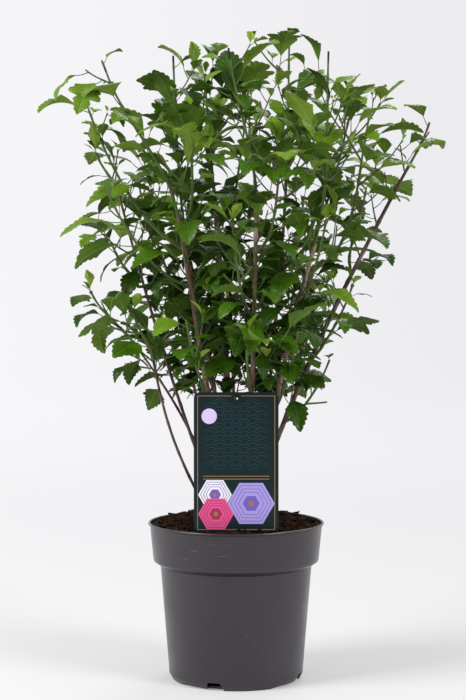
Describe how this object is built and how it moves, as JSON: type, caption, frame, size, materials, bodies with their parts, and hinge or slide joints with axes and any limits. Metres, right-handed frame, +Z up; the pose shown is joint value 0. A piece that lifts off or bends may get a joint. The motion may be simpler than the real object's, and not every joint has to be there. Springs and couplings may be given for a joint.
{
  "type": "potted hibiscus shrub",
  "caption": "Leafy hibiscus shrub with woody canes that fan out of the soil in a round nursery pot, with a plain picture card at the front.",
  "frame": {"origin": "middle of the pot's flat underside, where it stands", "axes": "+Z up along the pot's axis, -Y towards the side with the picture card, +X to the right seen from that side"},
  "size_m": [0.4348, 0.3473, 0.7001],
  "materials": {
    "pot": "semi-matt grey-brown moulded plastic",
    "soil": "loose dark bark and peat",
    "label": "thin printed plastic card",
    "bark": "grey-brown bark",
    "foliage": "living leaves and green shoots"
  },
  "bodies": {
    "root": {"pot": "pot", "soil": "soil", "label": "label", "cane_left_front": "bark", "cane_left_inner": "bark", "cane_middle": "bark", "cane_middle_back": "bark", "cane_centre_front": "bark", "cane_right_back": "bark", "cane_right_front": "bark", "cane_right_long": "bark", "cane_left_long": "bark", "cane_left_low": "bark", "cane_left_outer": "bark", "cane_back_left": "bark", "cane_back_right": "bark", "cane_back": "bark", "leaves_left_spire": "foliage", "leaves_left_high": "foliage", "leaves_left_front": "foliage", "leaves_left_shoulder": "foliage", "leaves_left_middle": "foliage", "leaves_left_low": "foliage", "leaves_left_base": "foliage", "leaves_inner_spire": "foliage", "leaves_crown_left": "foliage", "leaves_crown_front": "foliage", "leaves_centre_spire": "foliage", "leaves_centre_back": "foliage", "leaves_centre_right": "foliage", "leaves_tall_spire": "foliage", "leaves_right_spire": "foliage", "leaves_right_front": "foliage", "leaves_right_high": "foliage", "leaves_right_tip": "foliage", "leaves_right_middle": "foliage", "leaves_right_low": "foliage", "leaves_right_base": "foliage", "leaves_heart_front": "foliage", "leaves_heart_right": "foliage", "leaves_front_left": "foliage", "leaves_front_centre": "foliage", "leaves_front_right": "foliage", "leaves_back_left": "foliage", "leaves_back_low_left": "foliage", "leaves_back_spire": "foliage", "leaves_back_low": "foliage", "leaves_back_right": "foliage", "leaves_back_low_right": "foliage"}
  },
  "joints": []
}
